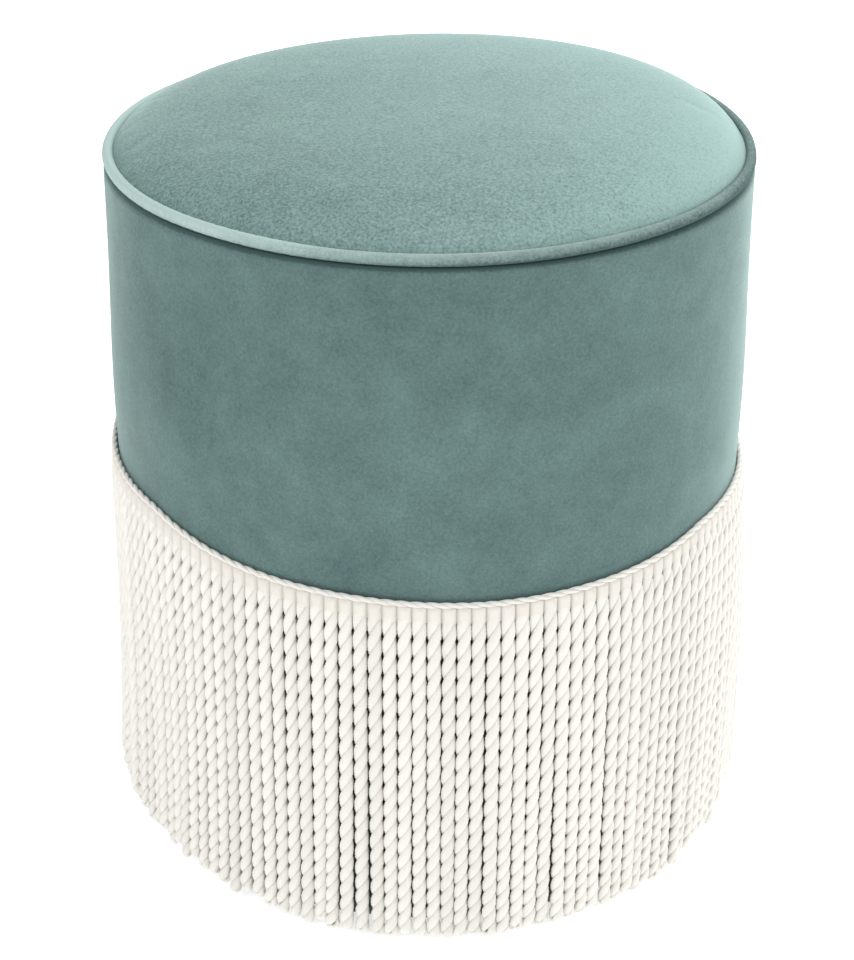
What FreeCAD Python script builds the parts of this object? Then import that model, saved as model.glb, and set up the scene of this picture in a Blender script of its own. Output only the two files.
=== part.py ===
import FreeCAD, Part
import math
import operator
import os
import Sketcher
from FreeCAD import Placement, Rotation, Vector

# A round drum tuffet. Millimetres, +Z up, the origin on the floor under the middle of the drum.
# The front of the drum faces -Y, and the wall's closing seams are at the back, on +Y.

os.makedirs("parts", exist_ok=True)
doc = FreeCAD.newDocument("tuffet")

# The driving sizes. Each row is a cell's alias, its plain number and what it measures.
SIZES = (
    ("body_radius", 190, "outside of the velvet wall"),
    ("seam_height", 426, "floor to the middle of the welt"),
    ("crown_rise", 26, "welt to the flat of the seat"),
    ("crown_inset", 60, "edge of that flat, in from the wall"),
    ("brow_rise", 17.2, "welt to the middle of the rounded shoulder"),
    ("brow_inset", 27.5, "the middle of the shoulder, in from the wall"),
    ("cover_thickness", 1.5, "velvet with its backing"),
    ("side_wadding_thickness", 3, "polyester wadding round the wall, pulled tight"),
    ("seat_wadding_thickness", 8, "polyester wadding over the seat foam"),
    ("foam_depth", 75, "seat foam"),
    ("layer_gap", 0.2, "clearance between layers and round fastenings"),
    ("welt_diameter", 7.8, "velvet piping over its filler cord"),
    ("welt_proud", 0.6, "how far the piping stands out of the wall"),
    ("welt_cord_diameter", 6, "filler cord"),
    ("shell_thickness", 3, "bent hardboard wall"),
    ("shell_butt_gap", 1.5, "gap where the hardboard's ends meet"),
    ("base_thickness", 18, "plywood base"),
    ("seat_board_thickness", 15, "plywood under the foam"),
    ("post_count", 6, "posts round the drum"),
    ("post_width", 40, "post, round the drum"),
    ("post_depth", 40, "post, in from the wall"),
    ("screw_length", 50, "screw with its head"),
    ("screw_diameter", 5, "screw shank"),
    ("screw_head_diameter", 9.5, "screw head"),
    ("screw_head_depth", 3, "screw head"),
    ("turn_under_width", 45, "wall cover under the base, in from the hardboard"),
    ("dust_cover_inset", 15, "edge of the dust cover, in from the wall"),
    ("dust_cover_thickness", 0.6, "cambric"),
    ("glide_count", 4, "glides under the base"),
    ("glide_height", 8, "floor to the dust cover"),
    ("glide_diameter", 24, "glide"),
    ("glide_bevel", 2.5, "bevel round the sole"),
    ("glide_inset", 33, "glide's middle, in from the wall"),
    ("nail_diameter", 2.6, "glide's nail"),
    ("nail_root", 5, "nail inside the glide"),
    ("nail_bite", 14, "nail above the glide"),
    ("fringe_top", 235, "floor to the top of the lip cord"),
    ("lip_cord_diameter", 3, "cord along the top of the heading"),
    ("heading_height", 10.5, "woven heading of the fringe"),
    ("heading_thickness", 5, "heading over its ribs"),
    ("rib_depth", 0.9, "ribs of the heading"),
    ("bullion_count", 148, "bullions, one under each rib"),
    ("bullion_depth", 5.8, "bullion, in from the front of the fringe"),
    ("bullion_gap", 0.2, "clearance between bullions at the top"),
    ("fringe_flare", 3.2, "how far the bullions' ends stand out"),
    ("floor_clearance", 4, "floor to the ends of the bullions"),
)
sheet = doc.addObject("Spreadsheet::Sheet", "sizes")
for row, (alias, number, meaning) in enumerate(SIZES, 1):
    sheet.set(f"A{row}", alias)
    sheet.set(f"B{row}", str(number))
    sheet.setAlias(f"B{row}", alias)
    sheet.set(f"C{row}", meaning)
doc.recompute()


class Size:
    """A number with the expression that gives it. A sketch starts at the one and is bound to the other."""

    work = {"+": operator.add, "-": operator.sub, "*": operator.mul, "/": operator.truediv}

    def __init__(self, number, text=None):
        self.number = number
        self.text = text or repr(number)

    def joined(self, sign, other):
        other = other if isinstance(other, Size) else Size(other)
        return Size(self.work[sign](self.number, other.number), f"({self.text} {sign} {other.text})")

    def __add__(self, other):
        return self.joined("+", other)

    def __sub__(self, other):
        return self.joined("-", other)

    def __mul__(self, other):
        return self.joined("*", other)

    def __truediv__(self, other):
        return self.joined("/", other)


def size(alias):
    return Size(float(sheet.get(alias)), "sizes." + alias)


NOTHING = Size(0.0)
body_radius = size("body_radius")
seam_height = size("seam_height")
cover = size("cover_thickness")
gap = size("layer_gap")
pieces = []


def new_piece(name, kind="PartDesign::Body"):
    """An object that becomes one node of the part."""
    piece = doc.addObject(kind, name)
    piece.Label = name
    pieces.append(piece)
    return piece


def put(piece, height, turn=0):
    """Lifts a piece to a height and turns it about the drum's axis."""
    piece.Placement = Placement(Vector(0, 0, height.number), Rotation(Vector(0, 0, 1), turn))
    piece.setExpression("Placement.Base.z", height.text)


def origin_part(body, role):
    return next(part for part in body.Origin.OriginFeatures if part.Role == role)


def new_sketch(body, name, plane="XY_Plane", height=NOTHING, turn=0):
    """A sketch on one of its own body's planes, or at a height above it and turned about its upright axis."""
    sketch = body.newObject("Sketcher::SketchObject", name)
    sketch.AttachmentSupport = [(origin_part(body, plane), "")]
    sketch.MapMode = "FlatFace"
    sketch.AttachmentOffset = Placement(Vector(), Rotation(Vector(0, 0, 1), turn))
    sketch.setExpression("AttachmentOffset.Base.z", height.text)
    sketch.Visibility = False
    return sketch


def bind(sketch, constraint, amount, name):
    sketch.addConstraint(constraint)
    sketch.renameConstraint(sketch.ConstraintCount - 1, name)
    sketch.setExpression("Constraints." + name, amount.text)


def pin(sketch, edge, end, across, up, name):
    """Holds a point at its distances from the sketch's origin, or on an axis where a distance is nothing."""
    for kind, axis, amount in (("DistanceX", -2, across), ("DistanceY", -1, up)):
        if amount.number == 0:
            sketch.addConstraint(Sketcher.Constraint("PointOnObject", edge, end, axis))
        else:
            pinned = Sketcher.Constraint(kind, -1, 1, edge, end, amount.number)
            bind(sketch, pinned, amount, f"{name}_{kind}")


def outline(sketch, corners):
    """Draws a closed outline of straight edges through corners, each (across, up) from the origin."""
    points = [Vector(across.number, up.number, 0) for across, up in corners]
    for start, end in zip(points, points[1:] + points[:1]):
        sketch.addGeometry(Part.LineSegment(start, end), False)
    for edge, (across, up) in enumerate(corners):
        after = (edge + 1) % len(corners)
        sketch.addConstraint(Sketcher.Constraint("Coincident", edge, 2, after, 1))
        pin(sketch, edge, 1, across, up, f"corner{edge}")


def even_sided(sketch, middle, radius, sides):
    """Draws a regular outline about a point on the sketch's first axis."""
    step = 2 * math.pi / sides
    outline(sketch, [
        (middle + radius * math.cos(step * index), radius * math.sin(step * index) if index else NOTHING)
        for index in range(sides)
    ])


def circle(sketch, radius, name):
    """Draws a circle about the drum's axis."""
    index = sketch.addGeometry(Part.Circle(Vector(), Vector(0, 0, 1), radius.number), False)
    sketch.addConstraint(Sketcher.Constraint("Coincident", index, 3, -1, 1))
    bind(sketch, Sketcher.Constraint("Radius", index, radius.number), radius, name)


def padded(body, sketch, name, length, kind="PartDesign::Pad", upwards=True):
    """Raises a sketch into a solid, or cuts it out upwards or downwards."""
    feature = body.newObject(kind, name)
    feature.Profile = sketch
    feature.setExpression("Length", length.text)
    feature.Reversed = upwards == (kind == "PartDesign::Pocket")
    return feature


def turned(body, sketch, name, kind="PartDesign::Revolution"):
    """Turns a half section about the drum's axis, or takes that shape out of the body."""
    feature = body.newObject(kind, name)
    feature.Profile = sketch
    feature.ReferenceAxis = (sketch, ["V_Axis"])
    feature.Angle = 360
    return feature


def turned_piece(name, corners):
    """A ring or disc of one material, turned from its half section."""
    body = new_piece(name)
    sketch = new_sketch(body, name + "_section", "XZ_Plane")
    outline(sketch, corners)
    turned(body, sketch, name + "_turned")
    return body


def ring_of(body, features, name, count):
    """Repeats features evenly about the drum's axis."""
    pattern = body.newObject("PartDesign::PolarPattern", name)
    pattern.Originals = features
    pattern.Axis = (origin_part(body, "Z_Axis"), [""])
    pattern.Angle = 360
    pattern.Occurrences = int(count.number)
    pattern.setExpression("Occurrences", count.text)
    body.Tip = pattern


# Radii and heights that several pieces share.
wall_radius = body_radius - cover - size("side_wadding_thickness")
board_radius = wall_radius - size("shell_thickness") - gap
cover_underside = size("glide_height") + size("dust_cover_thickness")
base_underside = cover_underside + cover
base_top = base_underside + size("base_thickness")
crown_height = seam_height + size("crown_rise")
foam_top = crown_height - cover - size("seat_wadding_thickness") - gap * 2
seat_board_top = foam_top - size("foam_depth")
seat_board_underside = seat_board_top - size("seat_board_thickness")
crown_radius = body_radius - size("crown_inset")
brow_radius = body_radius - size("brow_inset")
welt_radius = size("welt_diameter") / 2
welt_ring = body_radius + size("welt_proud") - welt_radius
under_welt = seam_height - welt_radius - gap
post_count = size("post_count")
post_turn = 360 / post_count.number
first_post = 90
half_post = size("post_width") / 2
post_outside = board_radius - gap - half_post * half_post / (board_radius * 2)
post_middle = post_outside - size("post_depth") / 2
screw_length = size("screw_length")
screw_radius = size("screw_diameter") / 2
head_radius = size("screw_head_diameter") / 2
head_depth = size("screw_head_depth")
screw_sides = 6


def bored_upwards(body, name, start, radius, depth, upwards=True):
    """Cuts one screw's hole in a board or post, from a height above the body's own plane."""
    sketch = new_sketch(body, name + "_outline", height=start)
    even_sided(sketch, post_middle, radius, screw_sides)
    return padded(body, sketch, name, depth, "PartDesign::Pocket", upwards)


def board(name, underside, thickness, head_below):
    """A plywood disc with a ring of holes that take the screws, their heads flush with its outer face."""
    body = new_piece(name)
    rim = new_sketch(body, name + "_rim")
    circle(rim, board_radius, "rim")
    padded(body, rim, name + "_disc", thickness)
    shank = bored_upwards(body, name + "_hole", NOTHING, screw_radius + gap, thickness)
    head_start = NOTHING if head_below else thickness
    head = bored_upwards(body, name + "_head_seat", head_start, head_radius + gap, head_depth, head_below)
    ring_of(body, [shank, head], name + "_holes", post_count)
    put(body, underside, first_post)
    return body


# The frame: a plywood base and a plywood seat board held apart by pine posts.
base_board = board("base_board", base_underside, size("base_thickness"), True)
board("seat_board", seat_board_underside, size("seat_board_thickness"), False)

# Posts: square pine, with a pilot hole for a screw in both ends.
post_length = seat_board_underside - base_top
for number in range(int(post_count.number)):
    post = new_piece(f"post_{number + 1}")
    square = new_sketch(post, "square")
    outline(square, [
        (post_outside - size("post_depth"), half_post * -1),
        (post_outside, half_post * -1),
        (post_outside, half_post),
        (post_outside - size("post_depth"), half_post),
    ])
    padded(post, square, "stick", post_length)
    low_depth = screw_length - size("base_thickness") + gap
    high_depth = screw_length - size("seat_board_thickness") + gap
    bored_upwards(post, "low_pilot", NOTHING, screw_radius + gap, low_depth)
    bored_upwards(post, "high_pilot", post_length, screw_radius + gap, high_depth, False)
    put(post, base_top, first_post + number * post_turn)

# Screws: one ring driven up through the base and one driven down through the seat board.
for name, foot, head_foot in (
    ("base_screws", base_underside, NOTHING),
    ("seat_board_screws", seat_board_top - screw_length, screw_length - head_depth),
):
    body = new_piece(name)
    shank_outline = new_sketch(body, "shank_outline")
    even_sided(shank_outline, post_middle, screw_radius, screw_sides)
    shank = padded(body, shank_outline, "shank", screw_length)
    head_outline = new_sketch(body, "head_outline", height=head_foot)
    even_sided(head_outline, post_middle, head_radius, screw_sides)
    head = padded(body, head_outline, "head", head_depth)
    ring_of(body, [shank, head], name + "_ring", post_count)
    put(body, foot, first_post)

# Hardboard wall: one sheet bent round the boards, its ends meeting at the back.
wall_height = seat_board_top - base_underside
shell_inside = wall_radius - size("shell_thickness")
wall_shell = turned_piece("wall_shell", [
    (shell_inside, NOTHING),
    (wall_radius, NOTHING),
    (wall_radius, wall_height),
    (shell_inside, wall_height),
])
bend = doc.getObject("wall_shell_turned")
bend.Midplane = True
bend.setExpression("Angle", f"360 - {(size('shell_butt_gap') / wall_radius * math.degrees(1)).text}")
put(wall_shell, base_underside, -90)

# Seat foam: a disc on the seat board, pulled round at its shoulder by the cover.
seat_edge = welt_ring - welt_radius - gap
wadding_edge = seat_edge - cover - gap
foam_foot = under_welt - size("seat_wadding_thickness")
turned_piece("seat_foam", [
    (NOTHING, seat_board_top),
    (wall_radius, seat_board_top),
    (wall_radius, foam_foot),
    (wadding_edge, foam_foot),
    (crown_radius, foam_top),
    (NOTHING, foam_top),
])

# Seat wadding: a round of polyester between the foam and the velvet, drawn thin at the shoulder.
wadding_top = crown_height - cover - gap
wadding_brow = seam_height + size("brow_rise") - cover - gap * 2
turned_piece("seat_wadding", [
    (NOTHING, foam_top + gap),
    (crown_radius, foam_top + gap),
    (wadding_edge, foam_foot + gap),
    (wadding_edge, seam_height),
    (brow_radius - cover / 2, wadding_brow),
    (crown_radius, wadding_top),
    (NOTHING, wadding_top),
])

# Seat cover: a round of velvet, crowned over the seat and sewn to the welt at its edge.
turned_piece("seat_cover", [
    (NOTHING, crown_height - cover),
    (crown_radius, crown_height - cover),
    (brow_radius - cover / 2, seam_height + size("brow_rise") - cover),
    (seat_edge - cover, seam_height),
    (seat_edge, seam_height),
    (brow_radius, seam_height + size("brow_rise")),
    (crown_radius, crown_height),
    (NOTHING, crown_height),
])

# Welt: a strip of the velvet sewn round a filler cord, caught in the seam between the seat and the wall.
# The casing is turned with a six-sided section and the cord with a four-sided one.
welt_corner = welt_radius / 2
welt_flat = welt_radius * math.cos(math.pi / 6)
cord_radius = size("welt_cord_diameter") / 2
bore_radius = cord_radius + gap / 2
welt_casing = turned_piece("welt_casing", [
    (welt_ring - welt_radius, seam_height),
    (welt_ring - welt_corner, seam_height - welt_flat),
    (welt_ring + welt_corner, seam_height - welt_flat),
    (welt_ring + welt_radius, seam_height),
    (welt_ring + welt_corner, seam_height + welt_flat),
    (welt_ring - welt_corner, seam_height + welt_flat),
])


def four_sided(middle, height, radius):
    """The corners of a square that stands on one of them."""
    return [
        (middle - radius, height),
        (middle, height - radius),
        (middle + radius, height),
        (middle, height + radius),
    ]


bore = new_sketch(welt_casing, "bore_section", "XZ_Plane")
outline(bore, four_sided(welt_ring, seam_height, bore_radius))
turned(welt_casing, bore, "bore", "PartDesign::Groove")
turned_piece("welt_cord", four_sided(welt_ring, seam_height, cord_radius))

# Wall wadding: a sleeve of polyester round the hardboard and the foam.
turned_piece("side_wadding", [
    (wall_radius + gap, base_underside),
    (body_radius - cover - gap, base_underside),
    (body_radius - cover - gap, under_welt),
    (wall_radius + gap, under_welt),
])

# Wall cover: a velvet band from the welt to the floor end of the drum, turned under the base.
turn_edge = wall_radius - size("turn_under_width")
side_cover = turned_piece("side_cover", [
    (body_radius, cover_underside),
    (body_radius, under_welt),
    (body_radius - cover, under_welt),
    (body_radius - cover, base_underside),
    (turn_edge, base_underside),
    (turn_edge, cover_underside),
])

# Dust cover: black cambric over the raw edges under the base.
dust_cover = new_piece("dust_cover")
sketch = new_sketch(dust_cover, "cambric_round")
circle(sketch, body_radius - size("dust_cover_inset"), "round")
padded(dust_cover, sketch, "cambric", size("dust_cover_thickness"))
put(dust_cover, size("glide_height"))

# Glides: nylon feet, each moulded on a nail that is driven up through the covers into the base.
glide_count = size("glide_count")
glide_turn = 360 / glide_count.number
first_glide = 45
glide_ring = body_radius - size("glide_inset")
glide_sides = 12
nail_sides = 6
nail_radius = size("nail_diameter") / 2
for number in range(int(glide_count.number)):
    glide = new_piece(f"glide_{number + 1}")
    foot_outline = new_sketch(glide, "foot_outline")
    even_sided(foot_outline, glide_ring, size("glide_diameter") / 2, glide_sides)
    padded(glide, foot_outline, "foot", size("glide_height"))
    socket_outline = new_sketch(glide, "socket_outline", height=size("glide_height"))
    even_sided(socket_outline, glide_ring, nail_radius + gap, nail_sides)
    socket = padded(glide, socket_outline, "nail_socket", size("nail_root"), "PartDesign::Pocket", False)
    doc.recompute()
    sole = min(range(len(socket.Shape.Faces)), key=lambda index: socket.Shape.Faces[index].CenterOfMass.z)
    bevel = glide.newObject("PartDesign::Chamfer", "bevel")
    bevel.Base = (socket, [f"Face{sole + 1}"])
    bevel.setExpression("Size", size("glide_bevel").text)
    put(glide, NOTHING, first_glide + number * glide_turn)

nail_foot = size("glide_height") - size("nail_root")
nail_top = size("glide_height") + size("nail_bite")
glide_nails = new_piece("glide_nails")
nail_outline = new_sketch(glide_nails, "nail_outline")
even_sided(nail_outline, glide_ring, nail_radius, nail_sides)
nail = padded(glide_nails, nail_outline, "nail", nail_top - nail_foot)
ring_of(glide_nails, [nail], "nails", glide_count)
put(glide_nails, nail_foot, first_glide)


def nail_holes(body, foot, depth, turn):
    """Cuts a hole for each glide nail upwards through a body, from a height in its own frame."""
    sketch = new_sketch(body, body.Label + "_nail_outline", height=foot, turn=turn)
    even_sided(sketch, glide_ring, nail_radius + gap, nail_sides)
    hole = padded(body, sketch, body.Label + "_nail_hole", depth, "PartDesign::Pocket")
    ring_of(body, [hole], body.Label + "_nail_holes", glide_count)


nail_holes(dust_cover, NOTHING, size("dust_cover_thickness"), first_glide)
nail_holes(side_cover, cover_underside, cover, first_glide)
nail_holes(base_board, NOTHING, nail_top - base_underside + gap, first_glide - first_post)

# Fringe heading: a woven band that grips the tops of the bullions, one rib to each, made as a ring of ribs.
bullion_count = size("bullion_count")
half_step = math.pi / bullion_count.number
cosine, sine, tangent = (
    Size(getattr(math, name)(half_step), f"{name}(180 deg / sizes.bullion_count)")
    for name in ("cos", "sin", "tan")
)
heading_top = size("fringe_top") - size("lip_cord_diameter")
heading_foot = heading_top - size("heading_height")
heading_inside = (body_radius + gap) / cosine
heading_outside = body_radius + gap + size("heading_thickness")
valley = heading_outside - size("rib_depth")
fringe_heading = new_piece("fringe_heading")
rib_outline = new_sketch(fringe_heading, "rib_outline")
outline(rib_outline, [
    (heading_inside * cosine, heading_inside * sine * -1),
    (valley * cosine, valley * sine * -1),
    (heading_outside, NOTHING),
    (valley * cosine, valley * sine),
    (heading_inside * cosine, heading_inside * sine),
])
rib = padded(fringe_heading, rib_outline, "rib", size("heading_height"))
ring_of(fringe_heading, [rib], "ribs", bullion_count)
put(fringe_heading, heading_foot)

# Lip cord: a slim twisted cord sewn along the top edge of the heading, as a plain four-sided ring.
lip_radius = size("lip_cord_diameter") / 2
lip_ring = body_radius + gap + lip_radius
turned_piece("fringe_lip_cord", four_sided(lip_ring, heading_top + lip_radius, lip_radius))

# Bullions: thick two-ply cords, each doubled into a loop, as plain six-sided rods that hang side by side.
bullion_depth = size("bullion_depth")
bullion_ring = body_radius + gap + bullion_depth / 2
half_width = (bullion_ring - bullion_depth / 4) * tangent - size("bullion_gap") / 2
bullion_length = heading_foot - gap - size("floor_clearance")
fringe_bullions = new_piece("fringe_bullions")


def bullion_section(name, height, middle):
    """A six-sided section with a flat towards each neighbour."""
    sketch = new_sketch(fringe_bullions, name, height=height)
    outline(sketch, [
        (middle + bullion_depth / 2, NOTHING),
        (middle + bullion_depth / 4, half_width),
        (middle - bullion_depth / 4, half_width),
        (middle - bullion_depth / 2, NOTHING),
        (middle - bullion_depth / 4, half_width * -1),
        (middle + bullion_depth / 4, half_width * -1),
    ])
    return sketch


bullion = fringe_bullions.newObject("PartDesign::AdditiveLoft", "bullion")
bullion.Profile = bullion_section("lower_end", NOTHING, bullion_ring + size("fringe_flare"))
bullion.Sections = [bullion_section("upper_end", bullion_length, bullion_ring)]
bullion.Ruled = True
ring_of(fringe_bullions, [bullion], "bullions", bullion_count)
put(fringe_bullions, size("floor_clearance"))

# Every object is checked before anything is written.
doc.recompute()
for item in doc.Objects:
    if "Invalid" in item.State or "Error" in item.State:
        raise RuntimeError(f"{item.Name} failed: {item.State}")
for piece in pieces:
    if piece.Shape.isNull() or not piece.Shape.isValid():
        raise RuntimeError(f"{piece.Label} has no valid shape")
for piece in pieces:
    piece.Shape.exportStep(f"parts/{piece.Label}.step")
    print(piece.Label, len(piece.Shape.Solids), round(piece.Shape.Volume))
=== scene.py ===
import math

import bpy
import numpy as np
from mathutils import Matrix, Vector


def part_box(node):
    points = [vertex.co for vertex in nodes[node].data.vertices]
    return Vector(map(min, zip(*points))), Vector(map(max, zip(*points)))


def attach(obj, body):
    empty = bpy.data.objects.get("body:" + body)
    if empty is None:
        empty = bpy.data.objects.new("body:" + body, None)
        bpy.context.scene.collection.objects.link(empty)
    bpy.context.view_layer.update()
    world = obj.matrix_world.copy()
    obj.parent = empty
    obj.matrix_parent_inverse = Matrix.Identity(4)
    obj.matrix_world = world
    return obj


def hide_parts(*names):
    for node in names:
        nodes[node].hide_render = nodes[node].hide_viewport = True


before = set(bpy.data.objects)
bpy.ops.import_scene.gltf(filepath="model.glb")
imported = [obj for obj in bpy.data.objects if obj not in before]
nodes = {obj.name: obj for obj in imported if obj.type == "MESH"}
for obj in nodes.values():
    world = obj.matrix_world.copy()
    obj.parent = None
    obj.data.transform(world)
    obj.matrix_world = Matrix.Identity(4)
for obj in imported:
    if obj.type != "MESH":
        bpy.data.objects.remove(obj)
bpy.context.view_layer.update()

# Camera: it stands in front of the drum, at about twice its height, and looks down on it with a slight roll.
# Its place was worked out from the rim, the wall and the fringe line in the photograph.
PHOTO_WIDTH, PHOTO_HEIGHT = 854, 960
PHOTO_FOCAL_PIXELS = 2202.4
PHOTO_MIDDLE = (428.1, 379.9)
SENSOR = 36
camera_aim = Vector((0, 0, 0.2708))
camera_distance = 1.3575
camera_elevation = math.radians(25.09)
camera_roll = math.radians(0.30)
camera_data = bpy.data.cameras.new("camera")
camera_data.sensor_fit = "VERTICAL"
camera_data.sensor_height = SENSOR
camera_data.lens = PHOTO_FOCAL_PIXELS / PHOTO_HEIGHT * SENSOR
camera_data.shift_x = (PHOTO_WIDTH / 2 - PHOTO_MIDDLE[0]) / PHOTO_HEIGHT
camera_data.shift_y = (PHOTO_MIDDLE[1] - PHOTO_HEIGHT / 2) / PHOTO_HEIGHT
camera = bpy.data.objects.new("camera", camera_data)
bpy.context.scene.collection.objects.link(camera)
looking = Vector((0, math.cos(camera_elevation), -math.sin(camera_elevation)))
turn = looking.to_track_quat("-Z", "Y").to_matrix().to_4x4() @ Matrix.Rotation(camera_roll, 4, "Z")
camera.matrix_world = Matrix.Translation(camera_aim - looking * camera_distance) @ turn
bpy.context.scene.camera = camera

# Floor and light: a plain white studio floor, with broad soft lights from the left front, the right and
# the back. The world adds an even white fill, as a light tent does.
FLOOR_GLOW = 0.62
FLOOR_HALF = 6.0
WORLD_FILL = 0.55


class Wire:
    """A socket in a material's nodes. Sums with it add Math nodes, and node() adds any other node."""

    MIX_SHARE, MIX_FIRST, MIX_SECOND = 0, 6, 7
    MIX_COLOUR = 2

    def __init__(self, tree, socket=None):
        self.tree = tree
        self.socket = socket

    def node(self, kind, settings=None, sockets=None, result=0):
        made = self.tree.nodes.new("ShaderNode" + kind)
        for name, value in (settings or {}).items():
            setattr(made, name, value)
        for name, value in (sockets or {}).items():
            if isinstance(value, Wire):
                self.tree.links.new(value.socket, made.inputs[name])
            else:
                made.inputs[name].default_value = value
        return Wire(self.tree, made.outputs[result])

    def math(self, operation, *values):
        return self.node("Math", {"operation": operation}, dict(enumerate(values)))

    def blend(self, share, first, second):
        """Mixes two colours by a share of the second."""
        first, second = [value if isinstance(value, Wire) else (*value, 1) for value in (first, second)]
        sockets = {self.MIX_SHARE: share, self.MIX_FIRST: first, self.MIX_SECOND: second}
        return self.node("Mix", {"data_type": "RGBA"}, sockets, self.MIX_COLOUR)

    def __add__(self, other):
        return self.math("ADD", self, other)

    def __radd__(self, other):
        return self.math("ADD", other, self)

    def __sub__(self, other):
        return self.math("SUBTRACT", self, other)

    def __rsub__(self, other):
        return self.math("SUBTRACT", other, self)

    def __mul__(self, other):
        return self.math("MULTIPLY", self, other)

    def __rmul__(self, other):
        return self.math("MULTIPLY", other, self)


def new_finish(name, **surface):
    """A material whose own surface sockets are set, and the wire that its nodes are made from."""
    material = bpy.data.materials.new(name)
    material.use_nodes = True
    shader = material.node_tree.nodes["Principled BSDF"]
    for socket, value in surface.items():
        shader.inputs[socket.replace("_", " ")].default_value = value
    return material, Wire(material.node_tree)


def paint(material, **links):
    """Joins wires to a material's surface sockets."""
    shader = material.node_tree.nodes["Principled BSDF"]
    for socket, wire in links.items():
        material.node_tree.links.new(wire.socket, shader.inputs[socket.replace("_", " ")])


def noise(wire, scale, detail=2.0, roughness=0.5, where=None, distortion=0.0):
    """Noise in the object's own coordinates, or in others."""
    where = where or wire.node("TexCoord", result="Object")
    sockets = {"Vector": where, "Scale": scale, "Detail": detail}
    sockets |= {"Roughness": roughness, "Distortion": distortion}
    return wire.node("TexNoise", {}, sockets, "Fac")


def bump(wire, strength, depth, height):
    """A fine relief on a surface, from a wire for its height."""
    return wire.node("Bump", {}, {"Strength": strength, "Distance": depth, "Height": height})


floor_finish, wire = new_finish(
    "floor_paper", Roughness=0.9, Emission_Color=(1, 1, 1, 1), Emission_Strength=FLOOR_GLOW
)
speckle = noise(wire, 40.0, detail=3.0)
paint(floor_finish, Base_Color=wire.blend(speckle, (0.93, 0.93, 0.93), (0.95, 0.95, 0.95)))
floor_mesh = bpy.data.meshes.new("floor")
floor_corners = [(-FLOOR_HALF, -FLOOR_HALF, 0), (FLOOR_HALF, -FLOOR_HALF, 0)]
floor_corners += [(FLOOR_HALF, FLOOR_HALF, 0), (-FLOOR_HALF, FLOOR_HALF, 0)]
floor_mesh.from_pydata(floor_corners, [], [(0, 1, 2, 3)])
floor_mesh.materials.append(floor_finish)
floor = bpy.data.objects.new("floor", floor_mesh)
bpy.context.scene.collection.objects.link(floor)

world = bpy.data.worlds.new("studio")
world.use_nodes = True
world.node_tree.nodes["Background"].inputs["Color"].default_value = (1, 1, 1, 1)
world.node_tree.nodes["Background"].inputs["Strength"].default_value = WORLD_FILL
bpy.context.scene.world = world
bpy.context.scene.view_settings.view_transform = "Standard"


def soft_light(name, place, aim, width, watts):
    """A square lamp that faces a point."""
    lamp = bpy.data.lights.new(name, "AREA")
    lamp.shape = "SQUARE"
    lamp.size = width
    lamp.energy = watts
    holder = bpy.data.objects.new(name, lamp)
    holder.location = place
    holder.rotation_euler = (Vector(aim) - Vector(place)).to_track_quat("-Z", "Y").to_euler()
    bpy.context.scene.collection.objects.link(holder)


soft_light("key_light", place=(-1.3, -1.5, 2.0), aim=(0, 0, 0.25), width=1.4, watts=22)
soft_light("right_light", place=(2.0, -0.5, 1.3), aim=(0, 0, 0.3), width=1.2, watts=13)
soft_light("back_light", place=(1.3, 1.6, 1.9), aim=(0, 0, 0.4), width=1.4, watts=40)

# Seat cover: a round of dusty teal cotton velvet drawn over the foam and sewn to the piping all round.
# The stuffing stands a little higher on the right, and the cloth turns down steeply into the seam.
MM = 0.001
NAP_DARK = (0.055, 0.100, 0.098)
NAP_LIGHT = (0.310, 0.460, 0.440)
NAP_PATCHES = 0.29
NAP_STREAKS = 0.21
CREASE_SHADE = 180.0


def velvet(
    name,
    lift,
    grain,
    light=NAP_LIGHT,
    sheen=0.62,
    painted_light_slope=(0.0, 0.0),
    painted_light_rimwards=0.0,
    painted_light_upwards=(0.0, 0.0),
    shade_from=None,
):
    """Velvet with a short dense pile: brushed patches of the nap lie lighter or darker, the pile catches
    light where it is seen edge on, and a fine grain shows between the tufts. A lift makes all of the nap
    lighter.
    Painted light can make it lighter to the right and the back, lighter towards the rim, or lighter above
    the middle height of a cord and darker below it, and painted shade darkens it above shade_from into the
    crease of a seam."""
    material, wire = new_finish(
        name,
        Roughness=0.95,
        Specular_IOR_Level=0.15,
        Sheen_Weight=sheen,
        Sheen_Roughness=0.35,
        Sheen_Tint=(0.80, 1.0, 0.96, 1),
    )
    place = wire.node("TexCoord", result="Object")
    across, beyond, height = [wire.node("SeparateXYZ", {}, {"Vector": place}, axis) for axis in "XYZ"]
    patches = noise(wire, 13.0, detail=3.0, roughness=0.6, distortion=0.8)
    streaks = noise(wire, 60.0, detail=4.0, roughness=0.65)
    speckle = noise(wire, 620.0, detail=4.0, roughness=0.8)
    tufts = noise(wire, 1500.0, detail=1.0)
    nap = patches * NAP_PATCHES + streaks * NAP_STREAKS + (speckle - 0.5) * grain + lift
    ring = across * across + beyond * beyond
    # Painted light: lighter to the right and the back, and lighter towards the rim.
    nap = nap + across * painted_light_slope[0] + beyond * painted_light_slope[1] + ring * ring * painted_light_rimwards
    # Painted highlight above a cord's middle height, and painted shade below it.
    nap = nap + (height - painted_light_upwards[1]) * painted_light_upwards[0]
    # Painted shade in the crease of a seam, above shade_from.
    if shade_from is not None:
        nap = nap - wire.math("MAXIMUM", height - shade_from, 0.0) * CREASE_SHADE
    paint(material, Base_Color=wire.blend(nap, NAP_DARK, light))
    paint(material, Normal=bump(wire, strength=0.5, depth=0.4 * MM, height=speckle * 0.6 + tufts * 0.4))
    return material


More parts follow.
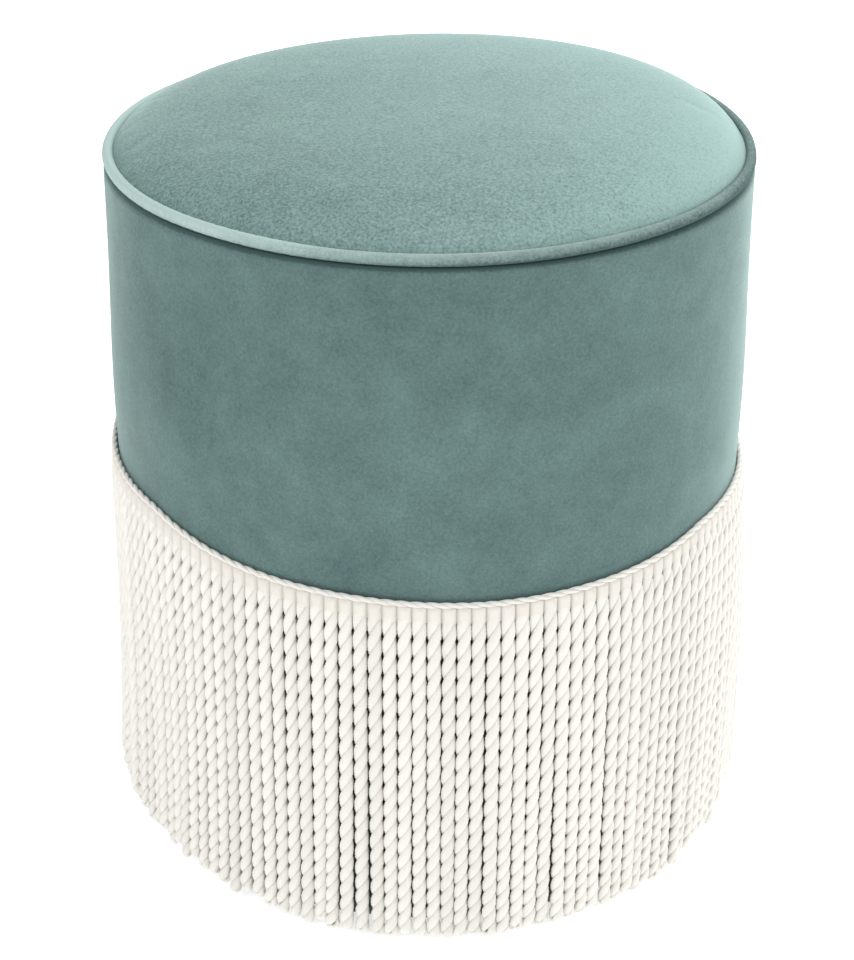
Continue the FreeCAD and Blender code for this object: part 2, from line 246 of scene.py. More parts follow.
def link_piece(name, points, faces, material, smooth=True):
    """A piece of the object from its points and faces, on the drum's one body."""
    mesh = bpy.data.meshes.new(name)
    mesh.from_pydata(np.asarray(points).reshape(-1, 3).tolist(), [], faces)
    mesh.materials.append(material)
    mesh.polygons.foreach_set("use_smooth", [smooth] * len(mesh.polygons))
    mesh.update()
    piece = bpy.data.objects.new(name, mesh)
    bpy.context.scene.collection.objects.link(piece)
    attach(piece, "root")
    return piece


def grid_faces(rows, columns, wraps_rows=False, wraps_columns=True, start=0):
    """Four-sided faces over a grid of points numbered row by row."""
    row = np.arange(rows if wraps_rows else rows - 1)[:, None]
    column = np.arange(columns if wraps_columns else columns - 1)[None, :]
    next_row = (row + 1) % rows
    next_column = (column + 1) % columns
    corners = [row * columns + column, row * columns + next_column]
    corners += [next_row * columns + next_column, next_row * columns + column]
    return (np.stack(np.broadcast_arrays(*corners), -1).reshape(-1, 4) + start).tolist()


def ripple(angle, seed, waves, height):
    """A slow uneven swell round the drum that closes on itself."""
    drawn = np.random.default_rng(seed)
    total = np.zeros_like(angle)
    for count in waves:
        total = total + drawn.normal() * np.sin(count * angle + drawn.uniform(0, 2 * math.pi))
    return total * height / len(waves) ** 0.5


SEAM_INSIDE = 0.4
CROWN_FLATNESS = 7.2
CROWN_STEEPNESS = 0.75
CROWN_LEAN = 0.0465
CROWN_SWELL = 0.5 * MM
CROWN_PUCKER = 0.07 * MM
COVER_THICKNESS = 1.5 * MM
cord_low, cord_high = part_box("welt_cord")
seam_height = (cord_low.z + cord_high.z) / 2
welt_ring = cord_high.x - (cord_high.z - cord_low.z) / 2
welt_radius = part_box("welt_casing")[1].x - welt_ring
crown_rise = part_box("seat_cover")[1].z - seam_height
seat_edge = welt_ring - SEAM_INSIDE * welt_radius


def crown(radius, angle, below=0.0):
    """How high the seat stands at a place, or a layer that lies below its cover."""
    share = np.clip(radius / seat_edge, 0, 1)
    height = crown_rise * (1 - share**CROWN_FLATNESS) ** CROWN_STEEPNESS
    lean = CROWN_LEAN * radius * np.cos(angle) * (1 - share**4)
    swell = ripple(angle, 11, (2, 3, 5), CROWN_SWELL) * share**2 * (1 - share**8)
    pucker = ripple(angle, 12, (31, 47, 64), CROWN_PUCKER) * share**14
    return seam_height + height + lean + swell + pucker - below


def settle(piece):
    """Replaces a piece's mesh by what its modifiers make of it."""
    seen = piece.evaluated_get(bpy.context.evaluated_depsgraph_get())
    made = bpy.data.meshes.new_from_object(seen)
    piece.modifiers.clear()
    piece.data = made


# The cover starts a little low, as an even net of squares over the round, pinned where it is sewn and held
# loosely by the stuffing. A short cloth simulation with pressure below then draws it tight.
NET = 84
NET_SINK = 0.975
STUFFING_HOLD = 0.35
MOST_MOVED = 3.0 * MM
CLOTH_STEPS = 20
line = np.linspace(-1, 1, NET + 1)
first, second = np.meshgrid(line, line)
steep = np.abs(first) > np.abs(second)
signed = np.where(steep, first, second)
ratio = np.divide(np.where(steep, second, first), signed, out=np.zeros_like(first), where=signed != 0)
spoke = np.where(steep, ratio, 2 - ratio) * (math.pi / 4)
x, y = signed * np.cos(spoke) * seat_edge, signed * np.sin(spoke) * seat_edge
target = crown(np.hypot(x, y), np.arctan2(y, x))
begun = np.stack([x, y, seam_height + (target - seam_height) * NET_SINK], -1).reshape(-1, 3)
# Painted light: the seat's nap is lighter than the wall's for the light from above, lighter to the right and
# the back, and lighter towards the rim against the shade at its shoulder.
seat_velvet = velvet("seat_velvet", lift=0.36, grain=2.3, painted_light_slope=(1.6, 1.0), painted_light_rimwards=250.0)
net_faces = grid_faces(NET + 1, NET + 1, wraps_columns=False)
seat_cover = link_piece("seat_cover_velvet", begun, net_faces, seat_velvet)
sewn = seat_cover.vertex_groups.new(name="sewn")
on_rim = np.maximum(np.abs(first), np.abs(second)).ravel() > 0.999
sewn.add(np.flatnonzero(~on_rim).tolist(), STUFFING_HOLD, "REPLACE")
sewn.add(np.flatnonzero(on_rim).tolist(), 1.0, "REPLACE")
cloth = seat_cover.modifiers.new("drawn_tight", "CLOTH")
cloth.settings.quality = 6
cloth.settings.mass = 0.3
cloth.settings.tension_stiffness = 18
cloth.settings.compression_stiffness = 18
cloth.settings.bending_stiffness = 2.0
cloth.settings.vertex_group_mass = "sewn"
cloth.settings.pin_stiffness = 0.008
cloth.settings.use_pressure = True
cloth.settings.uniform_pressure_force = 4
cloth.settings.effector_weights.gravity = 0
cloth.collision_settings.use_collision = False
for moment in range(1, CLOTH_STEPS + 1):
    bpy.context.scene.frame_set(moment)
settle(seat_cover)
bpy.context.scene.frame_set(1)
drawn_up = np.zeros(begun.size)
seat_cover.data.vertices.foreach_get("co", drawn_up)
moved = drawn_up.reshape(-1, 3) - begun
reach = np.linalg.norm(moved, axis=-1, keepdims=True)
moved *= np.minimum(1, MOST_MOVED / np.maximum(reach, 1e-9))
seat_cover.data.vertices.foreach_set("co", (begun + moved).ravel())
smoother = seat_cover.modifiers.new("finer", "SUBSURF")
smoother.levels = smoother.render_levels = 1
velvet_depth = seat_cover.modifiers.new("thickness", "SOLIDIFY")
velvet_depth.thickness = COVER_THICKNESS
velvet_depth.offset = -1
settle(seat_cover)
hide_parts("seat_cover")

# Welt: a bias strip of the velvet sewn round a filler cord and caught in the seam between seat and wall.
# The stitches draw its surface slightly in and out, and at the right rear it stands a little loose.
WELT_PAINTED_HIGHLIGHT = (0.46, 0.60, 0.57)
WELT_SHRINK = 0.55 * MM
WELT_OUT = 0.6 * WELT_SHRINK
WELT_LOOSE = 2.6 * MM
WELT_LOOSE_AT = 0.55
WELT_LOOSE_BREADTH = 0.30
WELT_LOOSE_FULLER = 0.16
WELT_UNEVEN = 0.012
WELT_WANDER = 0.25 * MM
WELT_RISE = 0.35 * MM


def around(radius, angle, height):
    """Points about the drum's axis, from radii, angles and heights that are numbers or arrays."""
    return np.stack(np.broadcast_arrays(radius * np.cos(angle), radius * np.sin(angle), height), -1)


# The welt's colour is painted light: a lighter range than the other velvet for its highlight, lighter above
# its middle height and darker below it, and darker towards the right.
welt_velvet = velvet(
    "welt_velvet",
    lift=0.13,
    grain=0.9,
    light=WELT_PAINTED_HIGHLIGHT,
    sheen=0.12,
    painted_light_slope=(-2.5, 0.0),
    painted_light_upwards=(110.0, seam_height),
)
welt_sectors, welt_sides = 1080, 20
angle = np.arange(welt_sectors)[:, None] * (2 * math.pi / welt_sectors)
side = np.arange(welt_sides)[None, :] * (2 * math.pi / welt_sides)
loose = np.exp(-(((angle - WELT_LOOSE_AT) / WELT_LOOSE_BREADTH) ** 2))
uneven = 1 + ripple(angle, 21, (90, 133, 171), WELT_UNEVEN) + ripple(angle, 22, (7, 12), WELT_UNEVEN)
fullness = (welt_radius - WELT_SHRINK) * uneven * (1 + WELT_LOOSE_FULLER * loose)
ring = welt_ring + WELT_OUT + ripple(angle, 23, (4, 9, 14), WELT_WANDER) + WELT_LOOSE * loose
height = seam_height + ripple(angle, 24, (3, 5, 11), WELT_RISE)
welt_points = around(ring + fullness * np.cos(side), angle, height + fullness * np.sin(side))
welt_faces = grid_faces(welt_sectors, welt_sides, wraps_rows=True)
welt = link_piece("welt_piping", welt_points, welt_faces, welt_velvet)
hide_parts("welt_casing")

# Wall cover: a band of the velvet stretched round the drum, closed by hand at the back and turned under
# the base. It is fullest above the fringe and tucks in below the piping into a crease all round, along which
# a narrow band of painted shade runs.
WALL_SWELL = 1.9 * MM
WALL_FULLEST = 0.285
WALL_FULL_REACH = 0.062
WALL_ROWS = 70
WALL_UNEVEN = 0.35 * MM
WALL_WAVES = 9.0
WALL_WANDER = 0.2 * MM
CREASE_DEPTH = 3.0 * MM
CREASE_HEIGHT = 4.5 * MM
CREASE_SHADE_HEIGHT = 2.6 * MM
CREASE_ROWS_MM = (9, 8, 7, 6, 5, 4, 3, 2.2, 1.5, 0.8, 0)
SEAM_WIDTH = 1.3 * MM
SEAM_DEPTH = 1.2 * MM
SEAM_REACH_MM = 8
SEAM_CLEAR = 0.045
TURN_HEIGHT = 3 * MM
TURNED_IN_AND_UP_MM = ((0.7, 1.4), (2.2, 0.4), (5, 0), (25, 0), (45, 0))
cover_low, cover_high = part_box("side_cover")
wall_radius = cover_high.x
seam_angle = math.pi / 2
crease_shade_from = cover_high.z - CREASE_SHADE_HEIGHT
# The wall's nap is painted a little lighter to the right, as painted light, and painted shade darkens it in
# the narrow crease below the piping.
wall_velvet = velvet("wall_velvet", lift=-0.04, grain=0.6, painted_light_slope=(0.26, 0.0), shade_from=crease_shade_from)
wide_sectors = np.linspace(0, 2 * math.pi, 361)[:-1]
near_seam = seam_angle + np.linspace(-SEAM_REACH_MM, SEAM_REACH_MM, 33) * MM / wall_radius
clear_of_seam = np.abs(wide_sectors - seam_angle) > SEAM_CLEAR
wall_angles = np.sort(np.concatenate([wide_sectors[clear_of_seam], near_seam]))
z = np.concatenate([
    np.linspace(cover_low.z + TURN_HEIGHT, cover_high.z - 10 * MM, WALL_ROWS),
    cover_high.z - np.array(CREASE_ROWS_MM) * MM,
])[:, None]
tuck = CREASE_DEPTH * np.clip((z - cover_high.z + CREASE_HEIGHT) / CREASE_HEIGHT, 0, 1) ** 2
swell = ripple(wall_angles, 31, (2, 3, 5), WALL_UNEVEN) * np.sin(z * WALL_WAVES)
swell = swell + ripple(wall_angles, 32, (4, 7), WALL_WANDER)
closing = SEAM_DEPTH * np.exp(-(((wall_angles - seam_angle) * wall_radius / SEAM_WIDTH) ** 2))
fullness = WALL_SWELL * np.exp(-(((z - WALL_FULLEST) / WALL_FULL_REACH) ** 2))
upright = around(wall_radius + fullness - tuck + swell - closing, wall_angles, z)
turned_under = [
    around(wall_radius - inward * MM, wall_angles, cover_low.z + above * MM)
    for inward, above in reversed(TURNED_IN_AND_UP_MM)
]
turns = len(turned_under)
outside = np.concatenate([np.array(turned_under), upright])
outwards = outside[..., :2] / np.linalg.norm(outside[..., :2], axis=-1, keepdims=True)
inside = outside.copy()
inside[1:, :, :2] -= outwards[1:] * COVER_THICKNESS
inside[:turns, :, 2] += COVER_THICKNESS
shell = np.concatenate([outside, inside[::-1]])
shell_faces = grid_faces(len(shell), len(wall_angles), wraps_rows=True)
wall_cover = link_piece("wall_cover_velvet", shell, shell_faces, wall_velvet)
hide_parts("side_cover")

# Bullions: each is one thick soft ply of cotton doubled at its lower end and twisted on itself, so that two
# plies show. They are made by machine with their heading and hang side by side below it, pressed a little
# flat, with closed ends that are uneven by a millimetre or two.
BULLIONS = 148
LIP_DIAMETER = 3.6 * MM
HEADING_HEIGHT = 10.5 * MM
LINE_RISE = 3.5 * MM
LEAN_RIGHT = 5.5 * MM
FRONT_DIP = 11.2 * MM
DIP_REACH = 0.42
DIP_SHAPE = 1.3
LINE_WANDER = 0.35 * MM
fringe_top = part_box("fringe_lip_cord")[1].z
front = -math.pi / 2


def fringe_line(angle):
    """Height of the fringe's upper edge: it was sewn on lower at the front and at the right."""
    away = np.clip((1 + np.sin(angle)) / DIP_REACH, 0, 1) ** DIP_SHAPE
    wander = ripple(angle, 41, (3, 6, 9), LINE_WANDER)
    return fringe_top + LINE_RISE - LEAN_RIGHT * np.cos(angle) - FRONT_DIP * (1 - away) + wander


# The first colour is painted shade in creases and grooves, and also the darker end of each bullion's own
# random tone.
COTTON_TONE_AND_CREASE_SHADE = (0.56, 0.53, 0.47)
COTTON_SHADE = (0.79, 0.765, 0.71)
COTTON_WHITE = (0.865, 0.85, 0.815)


def cotton(name, along):
    """Off-white twisted cotton, with fine yarns that run at an angle to each ply's own length."""
    material, wire = new_finish(name, Roughness=0.85, Specular_IOR_Level=0.3, Sheen_Weight=0.15)
    tone = wire.node("Attribute", {"attribute_name": "tone"}, result="Fac")
    yarns = wire.node("UVMap", {"uv_map": "yarn"})
    yarns = wire.node("Mapping", {}, {"Vector": yarns, "Scale": along})
    lines = noise(wire, 1.0, detail=3.0, roughness=0.6, where=yarns)
    blotch = noise(wire, 60.0) * 0.6 + lines * 0.4
    body = wire.blend(blotch, COTTON_SHADE, COTTON_WHITE)
    # The tone attribute blends the cotton towards painted shade in the creases between plies, and a little
    # darker at random from one bullion to the next.
    paint(material, Base_Color=wire.blend(tone, COTTON_TONE_AND_CREASE_SHADE, body))
    paint(material, Normal=bump(wire, strength=0.4, depth=0.2 * MM, height=lines))
    return material


# The half-round section of one of a cord's two plies, out from the cord's axis and sideways, for a cord of
# radius 1, and the painted shade that darkens the ply's edges round that section into the crease.
PLY_CORE = 0.30
PLY_REACH = np.array([0.46, 0.66, 0.83, 0.95, 1, 1, 0.95, 0.83, 0.66, 0.46])
PLY_CREASE_SHADE = np.array([0.1, 0.75, 1, 1, 1, 1, 1, 1, 0.75, 0.1])
PLY_SIDES = len(PLY_REACH)
arc = np.radians([-89, -78, -58, -34, -11, 11, 34, 58, 78, 89])
ply_section = np.stack([PLY_REACH * np.cos(arc), PLY_REACH * np.sin(arc)], -1)


def ply_tubes(middle, outward, sideways, cord_radius):
    """Tube points about the paths of plies, from two unit vectors at each point and the cord's radius."""
    across = (ply_section[:, :1] - PLY_CORE) * cord_radius
    along = ply_section[:, 1:] * cord_radius
    return middle[..., None, :] + outward[..., None, :] * across + sideways[..., None, :] * along


def unit(vector):
    return vector / np.linalg.norm(vector, axis=-1, keepdims=True)


FRINGE_LENGTH = 226 * MM
END_UNEVEN = 2.0 * MM
END_LEAST = 1.5 * MM
TOP_ABOVE_FOOT = 5.0 * MM
BULLION_RADIUS = 4.4 * MM
TWIST_PITCH = 25.0 * MM
PITCH_UNEVEN = 0.025
TWIST_START = math.radians(27)
START_UNEVEN = 0.16
LEAN_UNEVEN = 0.9 * MM
WAVE_UNEVEN = 0.15 * MM
LOOP_OPENING = -0.2 * MM
LOOP_UNEVEN = 0.7 * MM
LOOP_WIDEST = 1.2 * MM
RING_STEP = 1.8 * MM
LOOP_STEPS = 7
drawn = np.random.default_rng(7)
bullion_angle = front + (np.arange(BULLIONS) + 0.5) * (2 * math.pi / BULLIONS)
heading_foot = fringe_line(bullion_angle) - LIP_DIAMETER - HEADING_HEIGHT
top_height = heading_foot + TOP_ABOVE_FOOT
end_height = fringe_line(bullion_angle) - FRINGE_LENGTH + drawn.normal(0, END_UNEVEN, BULLIONS)
loop_height = np.maximum(end_height, END_LEAST) + BULLION_RADIUS
lean_side = drawn.normal(0, LEAN_UNEVEN, BULLIONS)
lean_out = np.abs(drawn.normal(0, LEAN_UNEVEN, BULLIONS))
lean_side = np.convolve(np.tile(lean_side, 3), np.ones(3) / 2, "same")[BULLIONS:2 * BULLIONS]
pitch = TWIST_PITCH * (1 + drawn.normal(0, PITCH_UNEVEN, BULLIONS))
start_turn = TWIST_START + drawn.normal(0, START_UNEVEN, BULLIONS)
open_loop = np.clip(drawn.normal(LOOP_OPENING, LOOP_UNEVEN, BULLIONS), 0, LOOP_WIDEST)
wave = drawn.normal(0, WAVE_UNEVEN, BULLIONS)
steps = int(math.ceil(float((top_height - loop_height).max()) / RING_STEP))
share = np.linspace(0, 1, steps)[None, :]

# The middle line of each bullion, from its top at 0 to its loop at 1: tucked in at the top, spreading below,
# and bowed to the right on both sides of the drum.
TOP_RING = 193.6 * MM
END_RING = 196.2 * MM
TOP_TUCK = 1.0 * MM
TOP_FADE = 40
BOW_RIGHT = 2.2 * MM
drop = top_height[:, None] + (loop_height - top_height)[:, None] * share
out = TOP_RING + (END_RING - TOP_RING + lean_out[:, None]) * share**0.8
out = out - TOP_TUCK * np.exp(-share * TOP_FADE)
out = out + BOW_RIGHT * np.cos(bullion_angle)[:, None] * np.clip(np.sin(share * math.pi), 0, 1) ** 0.8
aside = (lean_side[:, None] * share**1.5 + wave[:, None] * np.sin(share * 5.0)) / TOP_RING
turned = bullion_angle[:, None] + aside
axis = around(out, turned, drop)
radial = around(1.0, turned, 0.0)
tangent = np.stack([-np.sin(turned), np.cos(turned), np.zeros_like(turned)], -1)

# One ply goes down the twist, round the loop at the foot and up again on the other side of the axis.
TIGHTENING = 0.10
LOOP_SHARPNESS = 40
SWELLING = 0.02
up = np.array([0.0, 0.0, 1.0])
fall = top_height[:, None] - axis[..., 2]
twist = start_turn[:, None] - 2 * math.pi * fall / pitch[:, None] * (1 + TIGHTENING * share**2)
offset = PLY_CORE * BULLION_RADIUS + open_loop[:, None] * share**LOOP_SHARPNESS
legs = []
for half in (0.0, math.pi):
    away = radial * np.cos(twist + half)[..., None] + tangent * np.sin(twist + half)[..., None]
    middle = axis + away * offset[..., None]
    legs.append((middle, away, unit(np.cross(unit(np.gradient(middle, axis=1)), away))))
last_away = legs[0][1][:, -1]
bend = np.linspace(0, math.pi, LOOP_STEPS + 2)[1:-1]
loop_out = last_away[:, None, :] * np.cos(bend)[None, :, None] - up * np.sin(bend)[None, :, None]
loop_middle = axis[:, -1][:, None, :] + loop_out * offset[:, -1][:, None, None]
loop_side = np.broadcast_to(np.cross(-up, last_away)[:, None, :], loop_out.shape)
middle = np.concatenate([legs[0][0], loop_middle, legs[1][0][:, ::-1]], 1)
outward = np.concatenate([legs[0][1], loop_out, legs[1][1][:, ::-1]], 1)
sideways = np.concatenate([legs[0][2], loop_side, -legs[1][2][:, ::-1]], 1)
swelling = 1 + drawn.normal(0, SWELLING, (BULLIONS, 1, 1, 1))
tube = ply_tubes(middle, outward, sideways, BULLION_RADIUS)
tube = middle[..., None, :] + (tube - middle[..., None, :]) * swelling
rings = tube.shape[1]

# The cords are pressed flat against the drum, most at the heading, and each stays clear of its neighbours.
PLY_PRESSED = 0.74
TOP_PRESSED = 0.34
NEIGHBOUR_GAP = 0.06 * MM
BULLION_TONE = 0.93
TONE_UNEVEN = 0.06
places = [*range(steps), *[steps - 1] * LOOP_STEPS, *reversed(range(steps))]
tube_axis = axis[:, places, None, :]
off_axis = tube - tube_axis
outwards = radial[:, places, None, :]
neighbourwards = tangent[:, places, None, :]
pressed = PLY_PRESSED * (1 - TOP_PRESSED * np.exp(-share[0, places] * TOP_FADE))
tube -= outwards * (off_axis * outwards).sum(-1, keepdims=True) * (1 - pressed)[:, None, None]
breadth = (off_axis * neighbourwards).sum(-1, keepdims=True)
room = np.linalg.norm(tube_axis[..., :2], axis=-1, keepdims=True) * math.pi / BULLIONS - NEIGHBOUR_GAP / 2
tube += neighbourwards * (np.clip(breadth, -room, room) - breadth)
bullion_tone = np.clip(drawn.normal(BULLION_TONE, TONE_UNEVEN, BULLIONS), 0, 1)


def add_yarn_map(piece, rings_each, length, tone, shading=1.0):
    """Lays the yarn map along each tube of a piece, and keeps each tube's own tone, with painted shade into
    the creases between plies as strong as the shading."""
    mesh = piece.data
    corners = np.zeros(len(mesh.loops), np.int32)
    mesh.loops.foreach_get("vertex_index", corners)
    place = corners % (rings_each * PLY_SIDES)
    round_ply = (place % PLY_SIDES) / PLY_SIDES
    along = (place // PLY_SIDES) / rings_each * length
    layer = mesh.uv_layers.new(name="yarn")
    layer.data.foreach_set("uv", np.stack([round_ply, along], -1).astype(np.float32).ravel())
    attribute = mesh.attributes.new("tone", "FLOAT", "POINT")
    ply_crease_shade = 1 - (1 - np.tile(PLY_CREASE_SHADE, rings_each)) * shading
    attribute.data.foreach_set("value", (tone[:, None] * ply_crease_shade).ravel().astype(np.float32))


GROUPS = 4
YARN_PER_RING = 0.2
per_group = BULLIONS // GROUPS
bullion_cotton = cotton("bullion_cotton", along=(18.0, 60.0, 1.0))
group_faces = []
for index in range(per_group):
    start = index * rings * PLY_SIDES
    end = start + rings * PLY_SIDES
    group_faces += grid_faces(rings, PLY_SIDES, start=start)
    group_faces.append(list(range(start, start + PLY_SIDES))[::-1])
    group_faces.append(list(range(end - PLY_SIDES, end)))
for group in range(GROUPS):
    chosen = slice(group * per_group, (group + 1) * per_group)
    strand = link_piece(f"fringe_bullions_{group + 1}", tube[chosen], group_faces, bullion_cotton)
    add_yarn_map(strand, rings, rings * YARN_PER_RING, bullion_tone[chosen])
    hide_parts("fringe_bullions")

# Heading: the cotton band woven over the tops of the bullions, with one flat rib to each and a narrow groove
# between neighbours. It is stitched round the drum with its ends meeting at the back.
HEADING_THICKNESS = 4.6 * MM
HEADING_CLEAR = 0.8 * MM
HEADING_DROP = 1.04 * HEADING_HEIGHT
HEADING_UNDER_LIP = 0.8 * LIP_DIAMETER
HEADING_SHADE = (0.73, 0.69, 0.63)
HEADING_SECTION = ((0.0, 0.0), (0.55, 0.0), (0.8, 0.03), (0.96, 0.12), (1.0, 0.3), (1.0, 0.62))
HEADING_SECTION += ((0.96, 0.78), (0.86, 0.92), (0.66, 1.05), (0.4, 1.15), (0.0, 1.15))
RIB_DEPTH = 2.0 * MM
RIB_COLUMNS = 12
GROOVE_SHADE = 0.85
heading_inside = wall_radius + HEADING_CLEAR
heading_columns = BULLIONS * RIB_COLUMNS
angle = front + np.arange(heading_columns) * (2 * math.pi / heading_columns)
across_rib = np.abs((np.arange(heading_columns) % RIB_COLUMNS) / RIB_COLUMNS * 2 - 1)
ribbed = RIB_DEPTH * (1 - across_rib**3)
ribbed = ribbed - RIB_DEPTH * np.exp(-(((angle - seam_angle) * wall_radius / SEAM_WIDTH) ** 2))
heading_top = fringe_line(angle) - HEADING_UNDER_LIP
heading_depth = HEADING_THICKNESS - RIB_DEPTH + ribbed
heading_points = [
    around(heading_inside + heading_depth * thick, angle, heading_top - HEADING_DROP * deep)
    for thick, deep in HEADING_SECTION
]
heading_faces = [face[::-1] for face in grid_faces(len(HEADING_SECTION), heading_columns, wraps_rows=True)]
heading_cotton, wire = new_finish("heading_cotton", Roughness=0.85)
pick_sockets = {"Scale": 260.0, "Distortion": 1.0, "Detail": 2.0}
picks = wire.node("TexWave", {"bands_direction": "Z"}, pick_sockets, "Fac")
tone = wire.node("Attribute", {"attribute_name": "tone"}, result="Fac")
body = wire.blend(noise(wire, 80.0, detail=3.0), HEADING_SHADE, COTTON_SHADE)
weave = bump(wire, strength=0.35, depth=0.2 * MM, height=picks * 0.6 + noise(wire, 900.0) * 0.4)
paint(heading_cotton, Base_Color=wire.blend(tone, COTTON_TONE_AND_CREASE_SHADE, body), Normal=weave)
heading = link_piece("fringe_heading_ribs", heading_points, heading_faces, heading_cotton)
# Painted shade in the grooves between ribs, through the tone attribute.
groove_shade = np.tile(1 - GROOVE_SHADE * across_rib**7, len(HEADING_SECTION)).astype(np.float32)
heading.data.attributes.new("tone", "FLOAT", "POINT").data.foreach_set("value", groove_shade)
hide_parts("fringe_heading")

# Lip cord: a slim two-ply cotton cord sewn along the heading's upper edge. It is twisted so that one lobe of
# a ply lies above each rib.
LIP_COLUMNS = BULLIONS * 7
LIP_OUT = 0.62 * LIP_DIAMETER
LIP_YARN = 240.0
LIP_SHADING = 0.55
lip_angle = front + np.arange(LIP_COLUMNS) * (2 * math.pi / LIP_COLUMNS)
lip_axis = around(heading_inside + LIP_OUT, lip_angle, fringe_line(lip_angle) - LIP_DIAMETER / 2)
radial = around(1.0, lip_angle, 0.0)
lip_plies = []
for half in (0.0, math.pi):
    twist = half + lip_angle * BULLIONS / 2
    away = radial * np.cos(twist)[:, None] + up * -np.sin(twist)[:, None]
    middle = lip_axis + away * PLY_CORE * LIP_DIAMETER / 2
    way = unit(np.roll(middle, -1, 0) - np.roll(middle, 1, 0))
    lip_plies.append(ply_tubes(middle, away, unit(np.cross(way, away)), LIP_DIAMETER / 2))
lip_faces = grid_faces(LIP_COLUMNS, PLY_SIDES, wraps_rows=True)
lip_faces += grid_faces(LIP_COLUMNS, PLY_SIDES, wraps_rows=True, start=LIP_COLUMNS * PLY_SIDES)
lip_cotton = cotton("lip_cotton", along=(10.0, 60.0, 1.0))
lip = link_piece("fringe_lip_twist", lip_plies, lip_faces, lip_cotton)
# Painted shade in the creases between the lip's plies, lighter than on the bullions.
add_yarn_map(lip, LIP_COLUMNS, LIP_YARN, np.array([1.0, 1.0]), LIP_SHADING)
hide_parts("fringe_lip_cord")


def plain_finish(name, dark, light, scale, roughness, stretch=(1.0, 1.0, 1.0), **surface):
    """A material with its own grain: noise stretched along the grain between two tones."""
    material, wire = new_finish(name, Roughness=roughness, **surface)
    where = wire.node("Mapping", {}, {"Vector": wire.node("TexCoord", result="Object"), "Scale": stretch})
    grain = noise(wire, scale, detail=4.0, roughness=0.6, where=where, distortion=0.4)
    relief = bump(wire, strength=0.3, depth=0.3 * MM, height=grain)
    paint(material, Base_Color=wire.blend(grain, dark, light), Normal=relief)
    return material


def dress(material, *names):
    """Gives a material to nodes that show as they were built."""
    for name in names:
        mesh = nodes[name].data
        mesh.materials.clear()
        mesh.materials.append(material)


ALONG_BOARD = (1.0, 7.0, 1.0)
ALONG_POST = (6.0, 6.0, 0.6)
plywood = plain_finish(
    "birch_plywood", (0.52, 0.36, 0.20), (0.70, 0.54, 0.34), scale=14.0, roughness=0.7, stretch=ALONG_BOARD
)
pine = plain_finish(
    "planed_pine", (0.60, 0.40, 0.22), (0.78, 0.60, 0.38), scale=30.0, roughness=0.7, stretch=ALONG_POST
)
hardboard = plain_finish(
    "bent_hardboard", (0.17, 0.10, 0.055), (0.26, 0.16, 0.09), scale=300.0, roughness=0.7
)
foam = plain_finish("seat_foam", (0.70, 0.62, 0.42), (0.82, 0.74, 0.54), scale=700.0, roughness=0.95)
filler = plain_finish("filler_cord", (0.70, 0.66, 0.56), (0.82, 0.78, 0.68), scale=500.0, roughness=0.9)
cambric = plain_finish(
    "black_cambric", (0.012, 0.012, 0.013), (0.035, 0.035, 0.037), scale=1200.0, roughness=0.95
)
nylon = plain_finish("black_nylon", (0.015, 0.015, 0.016), (0.03, 0.03, 0.032), scale=250.0, roughness=0.4)
steel = plain_finish(
    "zinc_plate", (0.45, 0.45, 0.44), (0.62, 0.62, 0.60), scale=400.0, roughness=0.35, Metallic=1.0
)
dress(plywood, "base_board", "seat_board")
dress(pine, *[name for name in nodes if name.startswith("post_")])
dress(hardboard, "wall_shell")
dress(foam, "seat_foam")
dress(filler, "welt_cord")
dress(cambric, "dust_cover")
dress(nylon, *[name for name in nodes if name.startswith("glide_") and name != "glide_nails"])
dress(steel, "base_screws", "seat_board_screws", "glide_nails")

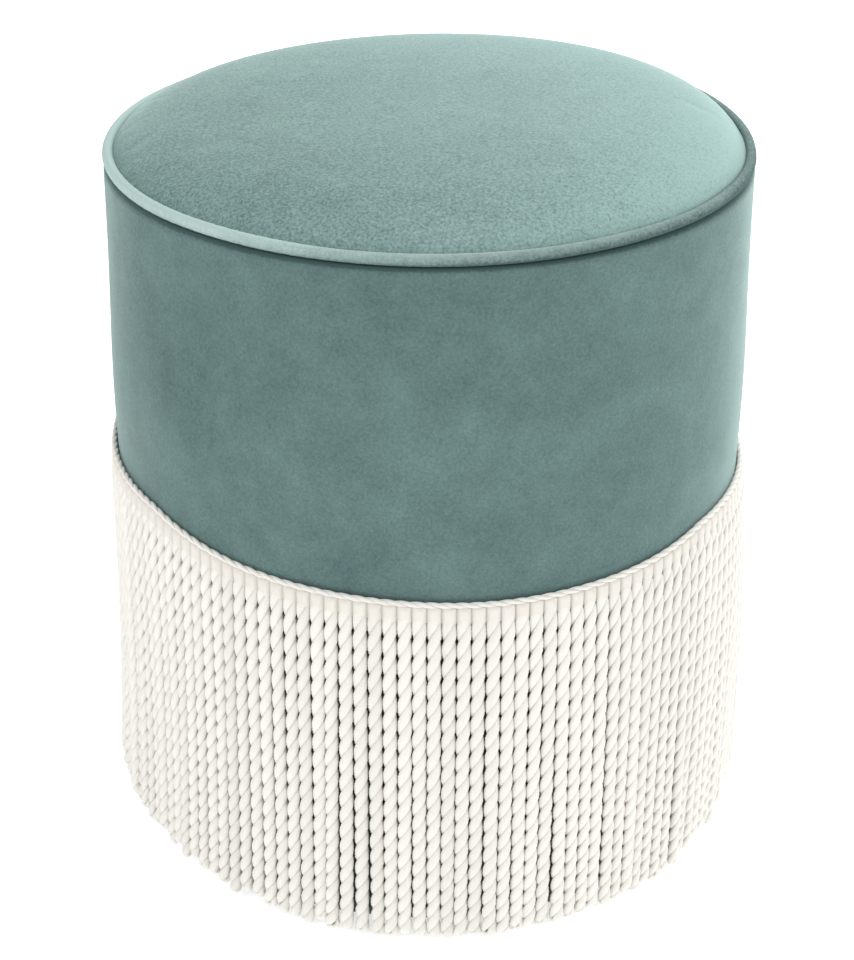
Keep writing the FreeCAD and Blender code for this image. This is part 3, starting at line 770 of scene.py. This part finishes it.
# Side wadding: a sleeve of polyester wadding wrapped round the hardboard under the wall cover.
# It thins out below the piping, so that the seam can be drawn in.
SLEEVE_SHOULDER = 12 * MM
SLEEVE_TOP = 7 * MM
SLEEVE_THIN = 0.5 * MM
sleeve_low, sleeve_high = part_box("side_wadding")
sleeve_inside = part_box("wall_shell")[1].x + 0.2 * MM
sleeve_section = (
    (sleeve_inside, sleeve_low.z),
    (sleeve_high.x, sleeve_low.z),
    (sleeve_high.x, sleeve_high.z - SLEEVE_SHOULDER),
    (sleeve_inside + SLEEVE_THIN, sleeve_high.z - SLEEVE_TOP),
    (sleeve_inside, sleeve_high.z - SLEEVE_TOP),
)
sleeve_points = [around(radius, wall_angles, height) for radius, height in sleeve_section]
sleeve_faces = grid_faces(len(sleeve_section), len(wall_angles), wraps_rows=True)
wadding = plain_finish(
    "polyester_wadding", (0.80, 0.80, 0.78), (0.90, 0.90, 0.88), scale=120.0, roughness=0.95
)
sleeve = link_piece("side_wadding_sleeve", sleeve_points, sleeve_faces, wadding, smooth=False)
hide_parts("side_wadding")

# Seat wadding: a round of the same wadding over the foam, which gives the crown its round shoulder.
# It lies loose under the seat cover and stops short of the seam.
WADDING_BELOW = 2.5 * MM
WADDING_THICKNESS = 6 * MM
WADDING_INSET = 6 * MM
WADDING_RINGS, WADDING_SECTORS = 59, 288
shares = np.sin(np.linspace(0, math.pi / 2, WADDING_RINGS + 1)[1:])
radius = shares[:, None] * (seat_edge - WADDING_INSET)
turned = np.arange(WADDING_SECTORS)[None, :] * (2 * math.pi / WADDING_SECTORS)
wadding_under = WADDING_BELOW + WADDING_THICKNESS
under_radius = radius * (1 - WADDING_THICKNESS / seat_edge)
upper = around(radius, turned, crown(radius, turned, WADDING_BELOW))
under = around(under_radius, turned, crown(radius, turned, wadding_under))
middles = [(0, 0, crown(0.0, 0.0, depth)) for depth in (WADDING_BELOW, wadding_under)]
skin = np.concatenate([upper, under[::-1]])
wadding_points = np.concatenate([skin.reshape(-1, 3), middles])
wadding_faces = [face[::-1] for face in grid_faces(len(skin), WADDING_SECTORS)]
upper_middle, under_middle = len(wadding_points) - 2, len(wadding_points) - 1
last = (len(skin) - 1) * WADDING_SECTORS
for index in range(WADDING_SECTORS):
    after = (index + 1) % WADDING_SECTORS
    wadding_faces.append((upper_middle, index, after))
    wadding_faces.append((under_middle, last + after, last + index))
seat_wadding = link_piece("seat_wadding_round", wadding_points, wadding_faces, wadding)
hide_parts("seat_wadding")
